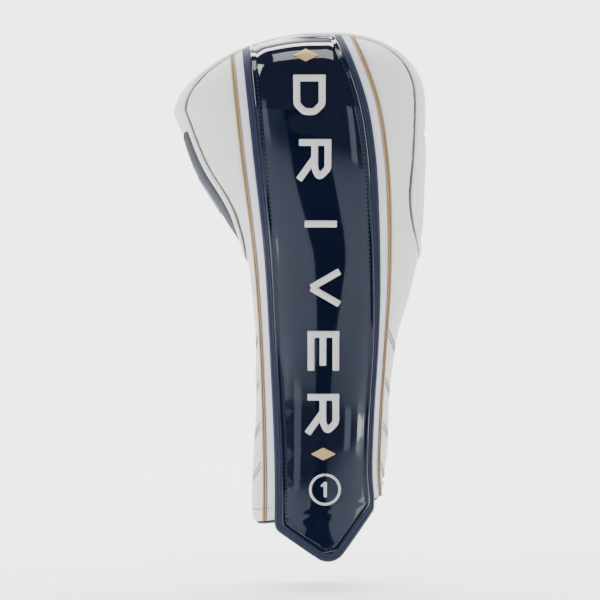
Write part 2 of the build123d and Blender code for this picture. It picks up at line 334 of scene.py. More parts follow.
def stitch_row(name, path, lift, material, length=2.1, pitch=3.0, radius=0.26):
    """Separate stitches along a flat path, each a small capsule that dips into the surface at its ends."""
    walk = resample([Vector((a, 0.0, b)) for a, b in path], pitch)
    points, faces, sides, rings = [], [], 6, 7
    for here, there in zip(walk, walk[1:]):
        start = len(points)
        stations = []
        for r in range(rings):
            share = r / (rings - 1)
            spot = here.lerp(there, (1 - length / pitch) / 2 + share * length / pitch)
            arch = math.sin(math.pi * share) ** 0.6
            stations.append((lift(spot.x, spot.z, 0.0), lift(spot.x, spot.z, 1.0), arch))
        direction = (stations[-1][0] - stations[0][0]).normalized()
        for low, high, arch in stations:
            up = (high - low).normalized()
            side = direction.cross(up).normalized()
            size = radius * (0.35 + 0.65 * arch)
            middle = low + up * radius * (0.9 * arch - 0.3)
            for k in range(sides):
                turn = 2 * math.pi * k / sides
                points.append(middle + side * math.cos(turn) * size + up * math.sin(turn) * size)
        faces += grid_faces(rings, sides, start, round_columns=True)
        faces.append(tuple(start + k for k in reversed(range(sides))))
        faces.append(tuple(start + (rings - 1) * sides + k for k in range(sides)))
    return mesh_piece(name, points, faces, material)


def satin(points, faces, path, widths, height, lift, thread=0.62):
    """Adds one raised satin-stitch stroke: threads laid across a flat path, crowned over a puff of foam."""
    flat = [Vector((a, 0.0, b)) for a, b in path]
    lengths = [0.0]
    for a, b in zip(flat, flat[1:]):
        lengths.append(lengths[-1] + (b - a).length)
    count = max(int(lengths[-1] / (thread / 2)), 8)
    columns = 11
    start = len(points)
    for k in range(count + 1):
        goal = lengths[-1] * k / count
        index = max(min(sum(length <= goal for length in lengths) - 1, len(flat) - 2), 0)
        span = max(lengths[index + 1] - lengths[index], 1e-9)
        share = (goal - lengths[index]) / span
        spot = flat[index].lerp(flat[index + 1], share)
        run = (flat[index + 1] - flat[index]).normalized()
        across = Vector((-run.z, 0.0, run.x))
        width = widths[index] + (widths[index + 1] - widths[index]) * share
        end = min(goal, lengths[-1] - goal)
        dome = min(1.0, (end / 0.9) ** 0.5) if end > 0 else 0.0
        thread_up = 0.14 if k % 2 else -0.06
        for j in range(columns):
            side = 2 * j / (columns - 1) - 1
            crown = max(1 - abs(side) ** 2.0, 0.0) ** 0.62
            reach = width / 2 * side * (1 + (0.03 if k % 2 else 0.0))
            rise = -0.15 if j in (0, columns - 1) else crown * dome * height + thread_up
            points.append(lift(spot.x + across.x * reach, spot.z + across.z * reach, rise))
    faces += grid_faces(count + 1, columns, start)


def arc_path(middle, radius, start, end, count=48):
    turns = [math.radians(start + (end - start) * k / count) for k in range(count + 1)]
    return [(middle[0] + radius * math.cos(t), middle[1] + radius * math.sin(t)) for t in turns]


# ---------------------------------------------------------------- shared effects for materials
def effect(name, inputs, outputs):
    """An empty node group with named inputs (name, default) and outputs (name, kind)."""
    group = bpy.data.node_groups.new(name, "ShaderNodeTree")
    for label, value in inputs:
        kind = "NodeSocketColor" if isinstance(value, tuple) else "NodeSocketFloat"
        socket = group.interface.new_socket(label, in_out="INPUT", socket_type=kind)
        socket.default_value = value
    for label, kind in outputs:
        group.interface.new_socket(label, in_out="OUTPUT", socket_type=kind)
    return group, group.nodes.new("NodeGroupInput"), group.nodes.new("NodeGroupOutput")


def math_node(tree, operation, first, second=None):
    node = tree.nodes.new("ShaderNodeMath")
    node.operation = operation
    for place, value in enumerate((first, second)):
        if value is None:
            continue
        if isinstance(value, (int, float)):
            node.inputs[place].default_value = value
        else:
            tree.links.new(value, node.inputs[place])
    return node.outputs[0]


def noise_node(tree, scale, detail=3.0):
    coordinates = tree.nodes.new("ShaderNodeTexCoord")
    cloud = tree.nodes.new("ShaderNodeTexNoise")
    cloud.inputs["Detail"].default_value = detail
    if isinstance(scale, (int, float)):
        cloud.inputs["Scale"].default_value = scale
    else:
        tree.links.new(scale, cloud.inputs["Scale"])
    tree.links.new(coordinates.outputs["Object"], cloud.inputs["Vector"])
    return cloud.outputs["Fac"]


def make_grain():
    """Pebbled leather: a height for the bump, a slow mottling of the colour, and painted shade that darkens the grooves
    between pebbles.
    """
    group, inside, outside = effect(
        "leather_grain",
        [("Color", (0.8, 0.8, 0.8, 1.0)), ("Deep Color", (0.6, 0.6, 0.6, 1.0)), ("Pebbles", 900.0)],
        [("Color", "NodeSocketColor"), ("Height", "NodeSocketFloat"), ("Roughness", "NodeSocketFloat")],
    )
    coordinates = group.nodes.new("ShaderNodeTexCoord")
    pebbles = group.nodes.new("ShaderNodeTexVoronoi")
    pebbles.feature = "DISTANCE_TO_EDGE"
    group.links.new(coordinates.outputs["Object"], pebbles.inputs["Vector"])
    group.links.new(inside.outputs["Pebbles"], pebbles.inputs["Scale"])
    crease = group.nodes.new("ShaderNodeMapRange")
    crease.inputs["From Max"].default_value = 0.22
    group.links.new(pebbles.outputs["Distance"], crease.inputs["Value"])
    fine = noise_node(group, math_node(group, "MULTIPLY", inside.outputs["Pebbles"], 2.4), 2.0)
    height = math_node(group, "ADD", crease.outputs["Result"], math_node(group, "MULTIPLY", fine, 0.5))
    slow = noise_node(group, 14.0, 4.0)
    mottle = group.nodes.new("ShaderNodeMapRange")
    mottle.inputs["From Min"].default_value = 0.35
    mottle.inputs["From Max"].default_value = 0.75
    group.links.new(slow, mottle.inputs["Value"])
    tint = math_node(group, "MULTIPLY", mottle.outputs["Result"], 0.30)
    # Painted shade: the colour darkens towards the deep colour in the grooves between pebbles.
    shade = math_node(group, "MULTIPLY", math_node(group, "SUBTRACT", 1.0, crease.outputs["Result"]), 0.22)
    mix = group.nodes.new("ShaderNodeMix")
    mix.data_type = "RGBA"
    group.links.new(math_node(group, "ADD", tint, shade), mix.inputs["Factor"])
    group.links.new(inside.outputs["Color"], mix.inputs["A"])
    group.links.new(inside.outputs["Deep Color"], mix.inputs["B"])
    group.links.new(mix.outputs["Result"], outside.inputs["Color"])
    group.links.new(height, outside.inputs["Height"])
    rough = math_node(group, "ADD", 0.42, math_node(group, "MULTIPLY", slow, 0.18))
    group.links.new(rough, outside.inputs["Roughness"])
    return group


def make_threads():
    """Threads laid side by side along one direction, crossed by finer ones, with lint in the colour and painted shade
    in the gaps between threads.
    """
    group, inside, outside = effect(
        "laid_threads",
        [
            ("Color", (0.8, 0.8, 0.8, 1.0)),
            ("Shadow Color", (0.5, 0.5, 0.5, 1.0)),
            ("Across", 1200.0),
            ("Up", 1200.0),
            ("Depth", 0.0),
            ("Contrast", 0.6),
        ],
        [("Color", "NodeSocketColor"), ("Height", "NodeSocketFloat"), ("Roughness", "NodeSocketFloat")],
    )
    coordinates = group.nodes.new("ShaderNodeTexCoord")
    split = group.nodes.new("ShaderNodeSeparateXYZ")
    group.links.new(coordinates.outputs["Object"], split.inputs["Vector"])
    across = math_node(group, "MULTIPLY", split.outputs["X"], inside.outputs["Across"])
    deep = math_node(group, "MULTIPLY", split.outputs["Y"], inside.outputs["Depth"])
    up = math_node(group, "MULTIPLY", split.outputs["Z"], inside.outputs["Up"])
    phase = math_node(group, "ADD", math_node(group, "ADD", across, deep), up)
    wave = math_node(group, "SINE", phase)
    ridge = math_node(group, "ADD", math_node(group, "MULTIPLY", wave, 0.5), 0.5)
    fuzz = noise_node(group, 2600.0, 2.0)
    height = math_node(group, "ADD", ridge, math_node(group, "MULTIPLY", fuzz, 0.6))
    # Painted shade: the colour darkens towards the shadow colour in the gaps between thread ridges; the slow noise adds
    # lint.
    low = math_node(group, "SUBTRACT", 1.0, ridge)
    shade_and_lint_mask = math_node(group, "MULTIPLY", low, inside.outputs["Contrast"])
    slow = noise_node(group, 40.0, 3.0)
    shade_and_lint_mask = math_node(group, "ADD", shade_and_lint_mask, math_node(group, "MULTIPLY", slow, 0.18))
    mix = group.nodes.new("ShaderNodeMix")
    mix.data_type = "RGBA"
    group.links.new(shade_and_lint_mask, mix.inputs["Factor"])
    group.links.new(inside.outputs["Color"], mix.inputs["A"])
    group.links.new(inside.outputs["Shadow Color"], mix.inputs["B"])
    group.links.new(mix.outputs["Result"], outside.inputs["Color"])
    group.links.new(height, outside.inputs["Height"])
    rough = math_node(group, "ADD", 0.55, math_node(group, "MULTIPLY", fuzz, 0.25))
    group.links.new(rough, outside.inputs["Roughness"])
    return group


GRAIN = make_grain()
THREADS = make_threads()


def start_material(name, rough=0.5, coat=0.0, coat_rough=0.05, sheen=0.0, metal=0.0, specular=0.5):
    material = bpy.data.materials.new(name)
    material.use_nodes = True
    shader = material.node_tree.nodes["Principled BSDF"]
    shader.inputs["Roughness"].default_value = rough
    shader.inputs["Coat Weight"].default_value = coat
    shader.inputs["Coat Roughness"].default_value = coat_rough
    shader.inputs["Sheen Weight"].default_value = sheen
    shader.inputs["Metallic"].default_value = metal
    shader.inputs["Specular IOR Level"].default_value = specular
    return material, material.node_tree, shader


def add_bump(tree, shader, height, strength, distance):
    bump = tree.nodes.new("ShaderNodeBump")
    bump.inputs["Strength"].default_value = strength
    bump.inputs["Distance"].default_value = distance
    tree.links.new(height, bump.inputs["Height"])
    tree.links.new(bump.outputs["Normal"], shader.inputs["Normal"])


def leather(name, color, deep, pebbles=900.0, strength=0.35, **finish):
    material, tree, shader = start_material(name, **finish)
    grain = tree.nodes.new("ShaderNodeGroup")
    grain.node_tree = GRAIN
    grain.inputs["Color"].default_value = (*color, 1.0)
    grain.inputs["Deep Color"].default_value = (*deep, 1.0)
    grain.inputs["Pebbles"].default_value = pebbles
    tree.links.new(grain.outputs["Color"], shader.inputs["Base Color"])
    tree.links.new(grain.outputs["Roughness"], shader.inputs["Roughness"])
    add_bump(tree, shader, grain.outputs["Height"], strength, 0.00025)
    return material


def cloth(name, color, shadow, across=0.0, up=0.0, depth=0.0, contrast=0.6, strength=0.5, tall=0.0002, **finish):
    material, tree, shader = start_material(name, **finish)
    threads = tree.nodes.new("ShaderNodeGroup")
    threads.node_tree = THREADS
    threads.inputs["Color"].default_value = (*color, 1.0)
    threads.inputs["Shadow Color"].default_value = (*shadow, 1.0)
    threads.inputs["Across"].default_value = across
    threads.inputs["Up"].default_value = up
    threads.inputs["Depth"].default_value = depth
    threads.inputs["Contrast"].default_value = contrast
    tree.links.new(threads.outputs["Color"], shader.inputs["Base Color"])
    tree.links.new(threads.outputs["Roughness"], shader.inputs["Roughness"])
    add_bump(tree, shader, threads.outputs["Height"], strength, tall)
    return material


def patent_leather():
    """Deep navy with a wet gloss, a faint orange peel and slow waves over the padding."""
    material, tree, shader = start_material("navy_patent", rough=0.09, coat=1.0, coat_rough=0.03, specular=0.2)
    slow = noise_node(tree, 9.0, 2.0)
    ramp = tree.nodes.new("ShaderNodeMix")
    ramp.data_type = "RGBA"
    ramp.inputs["A"].default_value = (0.0008, 0.0018, 0.0075, 1.0)
    ramp.inputs["B"].default_value = (0.0016, 0.0036, 0.0135, 1.0)
    tree.links.new(slow, ramp.inputs["Factor"])
    tree.links.new(ramp.outputs["Result"], shader.inputs["Base Color"])
    waves = noise_node(tree, 34.0, 2.0)
    peel = noise_node(tree, 700.0, 1.0)
    height = math_node(tree, "ADD", waves, math_node(tree, "MULTIPLY", peel, 0.012))
    add_bump(tree, shader, height, 0.25, 0.0022)
    rough = math_node(tree, "ADD", 0.07, math_node(tree, "MULTIPLY", noise_node(tree, 60.0, 3.0), 0.05))
    tree.links.new(rough, shader.inputs["Roughness"])
    return material


PATENT = patent_leather()
BINDING_MAT = leather("navy_binding", (0.008, 0.012, 0.035), (0.004, 0.006, 0.018), 1100.0, 0.5, specular=0.22)
TWILL = cloth("white_twill", (0.58, 0.58, 0.64), (0.34, 0.34, 0.41), 5200.0, 3600.0, contrast=0.7, sheen=0.3)
GOLD = cloth(
    "gold_cord", (0.42, 0.28, 0.13), (0.11, 0.065, 0.028), 3400.0, 4600.0, 1500.0, 0.85, 0.8, sheen=0.1, metal=0.15
)
WHITE = leather("white_leather", (0.60, 0.60, 0.585), (0.49, 0.475, 0.455), 620.0, 0.9, coat=0.08, coat_rough=0.4)
WELT_MAT = leather(
    "white_piping_leather", (0.64, 0.64, 0.625), (0.52, 0.51, 0.49), 800.0, 0.5, coat=0.2, coat_rough=0.3
)
NAVY = leather("navy_leather", (0.016, 0.020, 0.036), (0.009, 0.011, 0.021), 700.0, 0.8, specular=0.07)
SATIN = cloth(
    "white_satin_thread", (0.56, 0.56, 0.545), (0.27, 0.27, 0.265), 5200.0, 3900.0,
    contrast=0.75, strength=1.0, sheen=0.05,
)
GOLD_SATIN = cloth(
    "gold_satin_thread", (0.45, 0.30, 0.13), (0.17, 0.11, 0.045), contrast=0.5, strength=1.0, sheen=0.05, metal=0.1
)
NAVY_THREAD = cloth("navy_thread", (0.015, 0.025, 0.07), (0.006, 0.01, 0.03), contrast=0.5, sheen=0.2)
GREY_THREAD = cloth("grey_thread", (0.06, 0.065, 0.08), (0.03, 0.03, 0.04), contrast=0.5, sheen=0.2)
KNIT = cloth(
    "dark_rib_knit", (0.013, 0.015, 0.025), (0.005, 0.006, 0.011), 0.0, 5200.0,
    contrast=0.7, sheen=0.08, specular=0.2,
)
PLUSH = cloth(
    "dark_plush", (0.022, 0.025, 0.038), (0.007, 0.008, 0.014), 800.0, 900.0, 700.0, 0.4, 1.0, 0.001, sheen=0.3
)
ELASTIC = cloth("woven_elastic", (0.45, 0.44, 0.42), (0.25, 0.24, 0.23), 0.0, 4200.0, contrast=0.7)
LABEL = cloth("woven_label", (0.05, 0.06, 0.12), (0.02, 0.025, 0.06), 5200.0, 5200.0, contrast=0.6)
# Painted shadow: a dark leather colour for the lines laid in the folds beside the piping.
SEAM_SHADE = leather("seam_shadow", (0.10, 0.095, 0.09), (0.06, 0.055, 0.05), 900.0, 0.2)


# ---------------------------------------------------------------- joints that the fabric crosses
def across_neck(piece):
    """Bakes the placement into the mesh of a piece that crosses the neck, from its fixed front to its stretching back.
    """
    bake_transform(piece)


def across_hem(piece):
    """Bakes the placement into the mesh of a piece that crosses the hem, where the strip turns into the tongue."""
    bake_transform(piece)


def settle(piece, slot, *nodes, fill=None):
    """Hides the model parts that a piece stands for, given as nodes; the piece, its slot and fill (how full its padding
    is) are not used.
    """
    if nodes:
        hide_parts(*nodes)


# ---------------------------------------------------------------- the strip and the tongue
TONGUE = ((-30.0, -11.5), (6.8, -36.0), (34.0, 0.6))
TONGUE_RADII = (6.5, 12.0, 6.5)
STRIP_TOP = 294.2


def rounded(points, radii):
    """A bent line with its corners rounded to arcs."""
    line = [Vector((*points[0], 0))]
    for before, corner, after, radius in zip(points, points[1:], points[2:], radii):
        here = Vector((*corner, 0))
        back = (Vector((*before, 0)) - here).normalized()
        on = (Vector((*after, 0)) - here).normalized()
        half = back.angle(on) / 2
        middle = here + (back + on).normalized() * radius / math.sin(half)
        reach = radius / math.tan(half)
        start, end = here + back * reach - middle, here + on * reach - middle
        sweep = start.angle(end)
        for k in range(13):
            share = k / 12
            spoke = start * math.sin(sweep * (1 - share)) + end * math.sin(sweep * share)
            line.append(middle + spoke / math.sin(sweep))
    line.append(Vector((*points[-1], 0)))
    return [(p.x, p.y) for p in line]


def strip_outline(inward):
    """The strip's border from the top of its left edge round the tongue to the top of its right edge, as
    (x, z) points, drawn in by a distance along the skin."""
    left = [(strip_edge(-1, z, -inward), z) for z in spread(STRIP_TOP, -2, 110)]
    right = [(strip_edge(1, z, -inward), z) for z in spread(8, STRIP_TOP, 110)]
    low_left, tip, low_right = [Vector((*corner, 0)) for corner in TONGUE]
    slope_in = (tip - low_left).normalized()
    slope_out = (low_right - tip).normalized()
    lift_left = Vector((-slope_in.y, slope_in.x, 0)) * inward
    lift_right = Vector((-slope_out.y, slope_out.x, 0)) * inward
    x_left, x_right = left[-1][0], right[0][0]
    corner_left = low_left + lift_left
    corner_left += slope_in * ((x_left - corner_left.x) / slope_in.x)
    corner_right = low_right + lift_right
    corner_right += slope_out * ((x_right - corner_right.x) / slope_out.x)
    a, b = low_left + lift_left, low_right + lift_right
    crossing = slope_in.x * slope_out.y - slope_in.y * slope_out.x
    share = ((b.x - a.x) * slope_out.y - (b.y - a.y) * slope_out.x) / crossing
    point = a + slope_in * share
    shrink = max(1 - inward / 14, 0.25)
    radii = [radius * shrink for radius in TONGUE_RADII]
    corners = [left[-1], (corner_left.x, corner_left.y), (point.x, point.y), (corner_right.x, corner_right.y), right[0]]
    return left + rounded(corners, radii)[1:-1] + right


def border_at(outline, level, slope):
    """Where a sloping line across the strip meets an outline, left and right."""
    hits = []
    for (x0, z0), (x1, z1) in zip(outline, outline[1:]):
        d0, d1 = z0 - level - slope * x0, z1 - level - slope * x1
        if (d0 <= 0) != (d1 <= 0):
            share = d0 / (d0 - d1)
            hits.append(x0 + (x1 - x0) * share)
    return (min(hits), max(hits)) if hits else None


def gloss_strip():
    """One padded patent skin from the top seam to inside the tongue's binding."""
    outline = strip_outline(BINDING - 0.3)
    stitched = 2.6  # from the edge to the stitch line, where the skin is pulled down
    swell, seat, crease = 1.5, 0.75, 0.25
    bottom = min(z - HEM_SLOPE * x for x, z in outline)
    levels = spread(STRIP_TOP - 0.05, 40, 150) + spread(38.5, bottom + 0.9, 56)
    columns = 57
    outer, inner = [], []
    for level in levels:
        slope = HEM_SLOPE * (1 - smooth((level - 5) / 60))
        left, right = border_at(outline, level, slope)
        outer_row, inner_row = [], []
        for j in range(columns):
            share = j / (columns - 1)
            x = left + (right - left) * share
            z = level + slope * x
            edge = min(x - left, right - x)
            low_edge = (level - bottom) * 0.72
            edge = max(min(edge, low_edge, (STRIP_TOP - level) + 0.4), 0.0)
            gap = abs(edge - stitched)
            puff = swell * (1 - math.exp(-gap / (5.5 if edge > stitched else 1.4)))
            if level < 2:
                puff *= 0.55 + 0.45 * smooth((level + 8) / 10)
            dip = -crease * math.exp(-((level / 1.3) ** 2))
            lift = seat + puff + dip
            outer_row.append(on_front(x, z, -lift))
            inner_row.append(on_front(x, z, 0.9 if level > 1 else 1.2))
        outer.append(outer_row)
        inner.append(inner_row)
    piece = thick_grid("gloss_strip", outer, inner, PATENT)
    across_hem(piece)
    settle(piece, "patent", "patent_panel", "tongue_patent", "foam_strip", fill=0.5)


def strip_binding():
    """The folded binding down both edges of the strip and round the tongue."""
    lines = [strip_outline(d) for d in spread(0.0, BINDING, 9)]
    count, rows = 420, []
    for line in lines:
        path = [Vector((x, 0, z)) for x, z in line]
        total = [0.0]
        for a, b in zip(path, path[1:]):
            total.append(total[-1] + (b - a).length)
        row, index = [], 0
        for k in range(count):
            goal = total[-1] * k / (count - 1)
            while index < len(total) - 2 and total[index + 1] < goal:
                index += 1
            share = (goal - total[index]) / max(total[index + 1] - total[index], 1e-9)
            row.append(path[index].lerp(path[index + 1], min(share, 1.0)))
        rows.append(row)
    # How proud the binding stands from its outer edge to its inner edge, with a groove in the middle.
    profile = (0.1, 1.35, 1.75, 1.8, 1.35, 1.75, 1.9, 1.7, 0.9)
    outer = [[on_front(p.x, p.z, -lift) for p in row] for row, lift in zip(rows, profile)]
    inner = [[on_front(p.x, p.z, 0.0) for p in row] for row in rows]
    piece = thick_grid("strip_binding", outer, inner, BINDING_MAT)
    across_hem(piece)
    settle(piece, "binding", "patent_binding_left", "patent_binding_right", "tongue_binding")


def tongue_backing():
    """The soft backing behind the tongue."""
    outline = strip_outline(1.2)
    bottom = min(z - HEM_SLOPE * x for x, z in outline)
    outer, inner = [], []
    for level in spread(4.0, bottom + 0.8, 34):
        row = spread(*border_at(outline, level, HEM_SLOPE), 29)
        outer.append([on_front(x, level + HEM_SLOPE * x, 0.1) for x in row])
        inner.append([on_front(x, level + HEM_SLOPE * x, 1.35) for x in row])
    piece = thick_grid("tongue_lining", outer, inner, NAVY)
    across_hem(piece)
    settle(piece, "gusset", "tongue_backing")


def lift_on_strip(base):
    return lambda x, z, up: on_front(x, z, -base - up)


gloss_strip()
strip_binding()
tongue_backing()
row = stitch_row("strip_stitching", strip_outline(BINDING + 2.2), lift_on_strip(0.85), NAVY_THREAD, 1.7, 2.6, 0.24)
across_hem(row)


# ---------------------------------------------------------------- twill stripe and gold cord
def side_band(name, near, far, lift, material, rows=260, columns=9):
    """A narrow band down each side of the strip, between two distances outward, raised by lift(share across)."""
    pieces = []
    for side, label in ((-1, "left"), (1, "right")):
        outer, inner = [], []
        for level in spread(STRIP_TOP, 0.0, rows):
            outer_row, inner_row = [], []
            for j in range(columns):
                share = j / (columns - 1)
                x = strip_edge(side, level, near + (far - near) * share)
                z = hem_z(x, level)
                x = strip_edge(side, z, near + (far - near) * share)
                outer_row.append(on_front(x, z, -lift(share)))
                inner_row.append(on_front(x, z, 1.1))
            outer.append(outer_row)
            inner.append(inner_row)
        pieces.append(thick_grid(f"{name}_{label}", outer, inner, material))
    return pieces


def stripe_lift(share):
    """A slight crown."""
    return 0.35 + 0.25 * math.sin(math.pi * share)


for piece in side_band("twill_stripe", -0.4, STRIPE + 0.3, stripe_lift, TWILL):
    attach(piece, "cover")
    if piece.name.endswith("left"):
        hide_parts("stripe_band")


def cord_lift(share):
    """Two ribs side by side."""
    ribs = abs(math.sin(2 * math.pi * share)) ** 0.6
    return 0.15 + 1.25 * ribs


for piece in side_band("gold_ribbed_cord", STRIPE + 0.1, STRIPE + CORD - 0.1, cord_lift, GOLD, 300, 13):
    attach(piece, "cover")
    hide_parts("gold_cord_left" if piece.name.endswith("left") else "gold_cord_right")


# ---------------------------------------------------------------- white leather panels
CORD_END = STRIPE + CORD
TUCK = 2.2  # how far the leather runs in under the cord


def slant_of(point):
    """How high a place lies on the quilting, whose lines run down and outward."""
    return point.z + 0.9 * (abs(point.x) - 36) + 0.55 * (point.y + 20)


def quilting(point, edge):
    """The pinch of the double quilting lines that run down and outward over the neck."""
    if point.z > 140:
        return 0.0
    slant = slant_of(point)
    pinch = 0.0
    for level in QUILT_LEVELS:
        for line in (level, level - 3.2):
            pinch += math.exp(-(((slant - line) / 1.1) ** 2))
    return -1.1 * pinch * min(edge / 6, 1)


QUILT_LEVELS = (118.0, 89.0, 60.0, 33.0)


def front_panels():
    """Padded white leather from the gold cord to the head's seam and round the sides of the neck."""
    for side, label in ((-1, "left"), (1, "right")):

        def place(i, j, inset, side=side):
            level = 294.0 * (1 - i)
            inner_x = strip_edge(side, level, CORD_END - TUCK)
            z = max(hem_z(inner_x, level), -8)
            start = turn_at(x=strip_edge(side, z, CORD_END - TUCK), z=z)
            edge_y = min(seam_side(z) - (PIPING + 0.1 if z > 158 else 0), NECK_SIDE)
            end = turn_at(y=edge_y, z=z, side=side)
            if side < 0:
                start = start if start < 0 else start - 2 * math.pi
                end = end if end < 0 else end - 2 * math.pi
            turn = start + (end - start) * j
            point = on_ring(turn, z, inset)
            low = hem_z(point.x, level)
            return on_ring(turn, low, inset)

        piece = padded_grid(f"white_front_{label}", place, 210, 44, WHITE, 0.9, 0.6, 1.3, 5.0, quilting)
        across_neck(piece)
        settle(piece, "leather", f"front_panel_{label}", f"foam_front_{label}", fill=0.6)


front_panels()


SEAM_CLEAR = 1.2  # from a seam's middle to where the leather beside it starts


def head_side(name, side, low, high, material, nodes, slot):
    """A padded gusset piece on the left or right of the head, between the two seams."""

    def place(i, j, inset):
        y = (FRONT_SEAM + SEAM_CLEAR) + (BACK_SEAM - FRONT_SEAM - 2 * SEAM_CLEAR) * j
        bottom = low if low is not None else seam_low(y) + 1.0
        return on_side(side, y, bottom + (high - bottom) * i, inset)

    piece = padded_grid(name, place, 90, 60, material, 0.9, 0.7, 1.4, 6.0)
    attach(piece, "cover")
    settle(piece, slot, *nodes, fill=0.6)


head_side("crown_gusset", -1, None, SPLIT_Z - 0.1, NAVY, ("gusset_crown", "foam_gusset_crown"), "gusset")
head_side("face_gusset", 1, None, SPLIT_Z - 0.1, WHITE, ("gusset_face", "foam_gusset_face"), "leather")


def arch(y, share, inset=0.0, low=SPLIT_Z):
    """A point of the arch over the head at a depth, share running from the left foot to the right foot."""
    mid_y = 2.0
    half = (64.0 - inset)
    power = DOME_POWERS[2]
    depth = min(abs(y - mid_y) / half, 0.98)
    peak = SHOULDER + (TOP - inset - SHOULDER) * (1 - depth**power) ** (1 / power)
    turn = math.pi * share
    z = low + (peak - low) * math.sin(turn) ** 0.9 if 0 < share < 1 else low
    mid_x, middle_y, half_x, half_y, squareness = section(min(z, peak - 1e-4), inset)
    side = -1 if share < 0.5 else 1
    reach = far_share((y - middle_y) / half_y, squareness) if abs(y - middle_y) < half_y else 0.0
    if abs(share - 0.5) < 1e-9:
        return Vector((mid_x, y, peak))
    return Vector((mid_x + side * half_x * reach, y, z))


def top_gusset():
    def place(i, j, inset):
        y = (FRONT_SEAM + SEAM_CLEAR) + (BACK_SEAM - FRONT_SEAM - 2 * SEAM_CLEAR) * j
        return arch(y, i, inset, SPLIT_Z + 0.1)

    piece = padded_grid("top_gusset", place, 161, 60, WHITE, 0.9, 0.7, 1.4, 6.0)
    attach(piece, "cover")
    settle(piece, "leather", "gusset_top", "foam_gusset_top", fill=0.6)


top_gusset()


def back_cover():
    """The rounded panel over the back of the head, from the seam under it to the back piping."""

    def place(i, j, inset):
        share = (1 - (1 - i) ** 1.4)
        z = 154.8 + (294.3 - 154.8) * share
        y = BACK_SEAM + PIPING * 0.6
        start, end = turn_at(y=y, z=z, side=1), turn_at(y=y, z=z, side=-1)
        turn = start + (end - start) * j
        return on_ring(turn, z, inset)

    piece = padded_grid("back_cover", place, 110, 64, WHITE, 0.9, 0.6, 1.4, 6.0)
    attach(piece, "cover")
    settle(piece, "leather", "back_panel", "foam_back_panel", fill=0.6)


back_cover()


# ---------------------------------------------------------------- piping
def seam_arch(y, low, count=160):
    """Points over the head along a seam, from a foot on the left to a foot on the right."""
    return [arch(y, k / count, 0.0, low) for k in range(count + 1)]


def seam_normals(path):
    """Outward directions, from the middle of the head."""
    normals = []
    for p in path:
        mid_x, mid_y, half_x, half_y, power = section(min(p.z, 282.0))
        normals.append(Vector(((p.x - mid_x) / half_x, (p.y - mid_y) / half_y, max(p.z - 236, 0) / 60)).normalized())
    return normals


PIPING_RADIUS = 2.15
SEAM_SHADOW_ASIDE = 2.35  # from the piping's middle to the dark line of painted shadow in its seam fold
SEAM_SHADOW_RADIUS = 0.7


def beside(path, normals, distance, closed):
    """The same path moved sideways over the surface."""
    tangents = frames_along(path, closed)
    return [p + t.cross(n).normalized() * distance for p, t, n in zip(path, tangents, normals)]


def seam_shadow_lines(name, path, normals, closed):
    """A dark line of painted shadow in the fold on both sides of a piping."""
    for side, label in ((-1, "inside"), (1, "outside")):
        line = beside(path, normals, side * SEAM_SHADOW_ASIDE, closed)
        # a thin dark cord that paints the shadow in the fold
        piece = welt(f"{name}_seam_{label}", line, normals, SEAM_SHADOW_RADIUS, SEAM_SHADE, closed=closed, sides=6)
        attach(piece, "cover")


def front_piping():
    high = seam_arch(FRONT_SEAM, 215.0)
    left_down = [on_side(-1, seam_side(z), z) for z in spread(214.0, 162.5, 60)]
    right_down = [on_side(1, seam_side(z), z) for z in spread(214.0, 162.5, 60)]
    start_y = seam_side(162.5)
    back_left = [on_side(-1, y, seam_low(y)) for y in spread(start_y + 1, 40, 50)]
    back_right = [on_side(1, y, seam_low(y)) for y in spread(start_y + 1, 40, 50)]
    z = seam_low(43)
    first, last = turn_at(y=40, z=z, side=1), turn_at(y=40, z=z, side=-1)
    behind = []
    for turn in spread(first, last, 30)[1:-1]:
        p = on_ring(turn, z)
        behind.append(on_ring(turn, seam_low(p.y)))
    loop = high + right_down + back_right + behind + list(reversed(back_left)) + list(reversed(left_down))
    loop = resample(loop, 1.3, closed=True)
    piece = welt("front_piping", loop, seam_normals(loop), PIPING_RADIUS, WELT_MAT, closed=True, sides=14)
    seam_shadow_lines("front_piping", loop, seam_normals(loop), True)
    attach(piece, "cover")
    settle(piece, "piping", "piping_front")


def back_piping():
    path = seam_arch(BACK_SEAM, 156.5)
    path = resample(path, 1.3)
    piece = welt("back_piping", path, seam_normals(path), PIPING_RADIUS, WELT_MAT, sides=14)
    seam_shadow_lines("back_piping", path, seam_normals(path), False)
    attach(piece, "cover")
    settle(piece, "piping", "piping_back")


front_piping()
back_piping()


# ---------------------------------------------------------------- the stretching back of the neck
BANDS = (28.0, 62.0, 96.0)


def knit_back():
    """Rib knit gathered over the elastic bands, from side to side round the back of the neck."""

    def place(i, j, inset):
        level = 158.0 * i
        start = turn_at(y=NECK_SIDE - 1.0, z=level, side=1)
        end = turn_at(y=NECK_SIDE - 1.0, z=level, side=-1)
        turn = start + (end - start) * j
        point = on_ring(turn, level, inset)
        return on_ring(turn, hem_z(point.x, level), inset)

    def gather(point, edge):
        pull = sum(math.exp(-(((point.z - band) / 8.0) ** 2)) for band in BANDS)
        ripple = 0.55 * pull * math.sin(point.x * 0.95) * min(edge / 6, 1)
        rib = 0.22 * math.sin(point.x * 2.9)
        tuck = -3.2 * smooth((point.z - 146) / 8)
        return ripple + rib - 0.9 * pull + tuck

    piece = padded_grid("rib_knit_back", place, 150, 190, KNIT, 0.5, 0.8, 1.3, 4.0, gather)
    across_neck(piece)
    settle(piece, "knit", "neck_back_knit")


knit_back()


